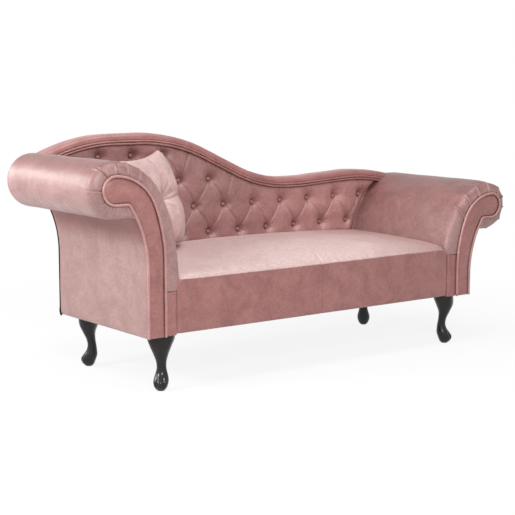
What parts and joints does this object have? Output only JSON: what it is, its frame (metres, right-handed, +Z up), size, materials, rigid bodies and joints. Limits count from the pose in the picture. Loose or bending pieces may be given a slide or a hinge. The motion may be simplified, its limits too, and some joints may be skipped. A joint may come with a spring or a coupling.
{
  "type": "chaise longue",
  "caption": "Velvet chaise longue with a tall and a low scroll arm, a serpentine button-tufted back, a sprung seat, carved cabriole legs and a loose buttoned cushion.",
  "frame": {"origin": "centre of the footprint on the floor", "axes": "+X along the length from the high arm to the low arm, +Y from the front edge of the seat to the rear of the back, +Z up"},
  "size_m": [1.814, 0.573, 0.7955],
  "materials": {
    "velvet": "short-pile velvet, soft sheen, dusty pink",
    "facing_velvet": "the same velvet, pulled flat over board, slightly darker",
    "black_lining": "matt black lining cloth",
    "felt": "grey felt pad",
    "seat_foam": "upholstery foam and wadding",
    "cushion_filling": "fibre filling",
    "twine": "waxed twine",
    "frame_wood": "sawn hardwood and plywood",
    "fibreboard": "thin fibreboard",
    "leg_wood": "carved hardwood, near-black satin stain",
    "spring_steel": "bare spring steel",
    "bolt_steel": "zinc-plated steel",
    "glide_plastic": "hard black plastic"
  },
  "bodies": {
    "chaise": {"seat_front_rail": "frame_wood", "seat_back_rail": "frame_wood", "seat_end_rails": "frame_wood", "seat_center_rail": "frame_wood", "leg_boards": "frame_wood", "dust_cover": "black_lining", "seat_springs": "spring_steel", "spring_clips": "spring_steel", "spring_felt": "felt", "seat_foam": "seat_foam", "seat_cover_left": "velvet", "seat_cover_right": "velvet", "apron_padding": "seat_foam", "apron_cover_right": "velvet", "apron_cover_left": "velvet", "back_top_rail": "frame_wood", "back_bottom_rail": "frame_wood", "back_uprights": "frame_wood", "back_panel": "fibreboard", "back_foam": "seat_foam", "back_tufted_cover": "velvet", "back_buttons": "velvet", "tufting_ties": "twine", "back_border_cover": "velvet", "back_border_padding": "seat_foam", "back_piping_outer": "velvet", "back_piping_inner": "velvet", "arm_front_board_right": "frame_wood", "arm_rear_board_right": "frame_wood", "arm_rails_right": "frame_wood", "arm_skin_right": "fibreboard", "arm_padding_right": "seat_foam", "arm_cover_right": "velvet", "arm_side_panel_right": "velvet", "arm_front_facing_right": "facing_velvet", "arm_front_piping_right": "velvet", "arm_front_strip_right": "facing_velvet", "arm_front_board_left": "frame_wood", "arm_rear_board_left": "frame_wood", "arm_rails_left": "frame_wood", "arm_skin_left": "fibreboard", "arm_padding_left": "seat_foam", "arm_cover_left": "velvet", "arm_side_panel_left": "velvet", "arm_front_facing_left": "facing_velvet", "arm_front_piping_left": "velvet", "arm_front_strip_left": "facing_velvet", "rear_lining": "black_lining", "leg_front_left": "leg_wood", "leg_front_right": "leg_wood", "leg_rear_left": "leg_wood", "leg_rear_right": "leg_wood", "leg_plates": "bolt_steel", "leg_bolts": "bolt_steel", "leg_glides": "glide_plastic", "frame_bolts": "bolt_steel"},
    "cushion": {"cushion_filling": "cushion_filling", "cushion_cover": "velvet", "cushion_buttons": "velvet"}
  },
  "joints": [
    {"name": "cushion_lift", "type": "slide", "parent": "chaise", "child": "cushion", "axis": [0, 0, 1], "range_m": [0, 0.45]}
  ]
}
